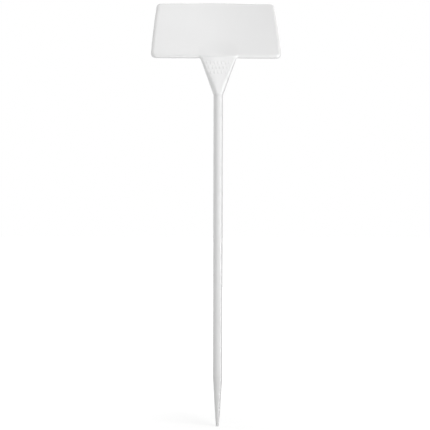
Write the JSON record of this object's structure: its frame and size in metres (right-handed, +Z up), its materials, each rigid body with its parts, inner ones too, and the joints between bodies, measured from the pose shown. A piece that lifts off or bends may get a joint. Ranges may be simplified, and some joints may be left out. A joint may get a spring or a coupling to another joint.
{
  "type": "plant label stake",
  "caption": "White plastic plant label: a leaning blank writing plate on a flared neck, which turns on a round tube stem with a tapered point to push into soil.",
  "frame": {"origin": "on the stem's axis at soil level, 90 mm above the tip", "axes": "+Z up along the stem towards the plate, -Y out of the plate's front, +X to the right as seen from the front"},
  "size_m": [0.0998, 0.0469, 0.3322],
  "materials": {
    "head_plastic": "white moulded plastic, smooth satin",
    "stem_plastic": "white extruded plastic, satin with fine lengthwise draw lines",
    "point_plastic": "white moulded plastic, satin"
  },
  "bodies": {
    "stake": {"stem_tube": "stem_plastic", "ground_point": "point_plastic"},
    "label": {"label_head": "head_plastic"}
  },
  "joints": [
    {"name": "label_swivel", "type": "hinge", "parent": "stake", "child": "label", "pos_m": [0, 0, 0.163], "axis": [0, 0, 1], "continuous": true}
  ]
}
